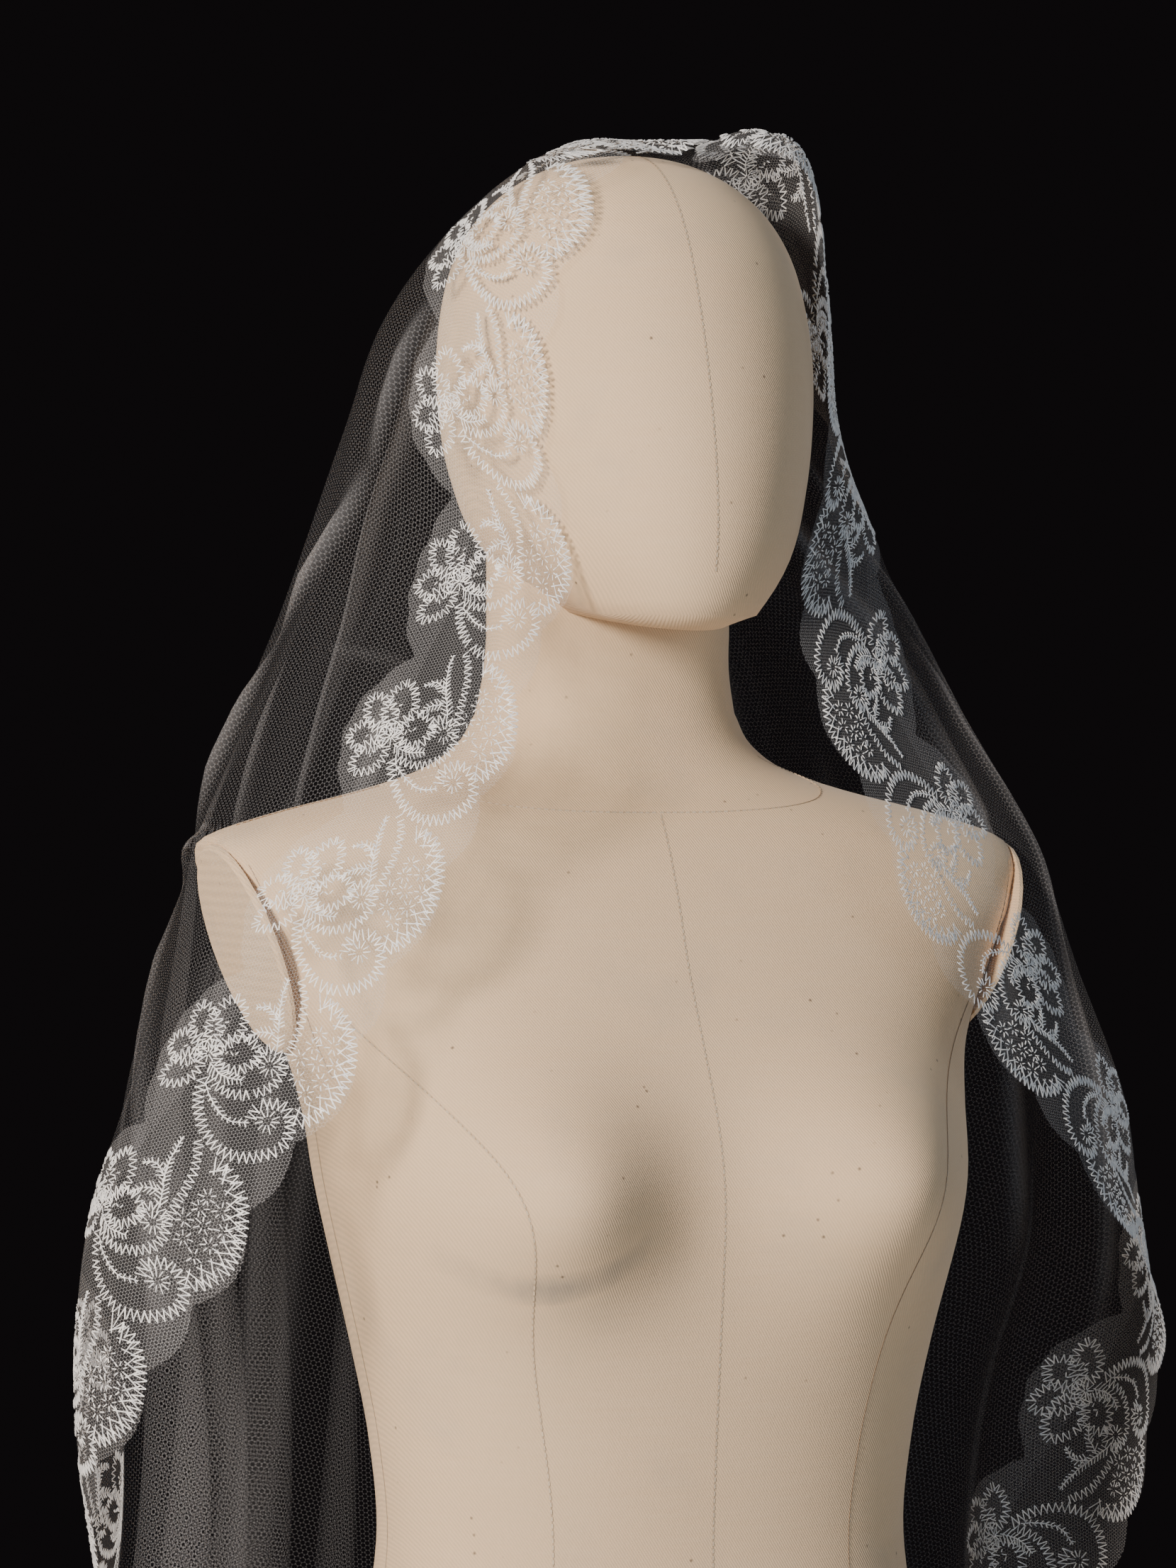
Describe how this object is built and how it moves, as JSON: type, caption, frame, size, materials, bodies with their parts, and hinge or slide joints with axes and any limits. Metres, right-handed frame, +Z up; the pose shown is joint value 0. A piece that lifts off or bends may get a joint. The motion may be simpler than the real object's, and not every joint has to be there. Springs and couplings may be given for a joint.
{
  "type": "bridal veil on a dress form",
  "caption": "Round lace-edged bridal veil draped over the head and shoulders of a headed, armless dress form on a round-based stand.",
  "frame": {"origin": "centre of the stand base's underside, on the floor", "axes": "+Z up along the pole, the form faces -Y, its left side at +X"},
  "size_m": [0.535, 0.5641, 1.6864],
  "materials": {
    "net": "fine white nylon net, soft sheen",
    "lace": "fine net embroidered in glossy white thread",
    "linen": "natural cotton twill cover, matt",
    "board": "varnished plywood",
    "steel": "brushed, clear coated"
  },
  "bodies": {
    "root": {"net_panel": "net", "lace_edging": "lace", "form_head": "linen", "form_neck": "linen", "form_torso": "linen", "arm_cap_right": "linen", "arm_cap_left": "linen", "hip_board": "board", "stand_pole": "steel", "stand_socket": "steel", "stand_base": "steel"}
  },
  "joints": []
}
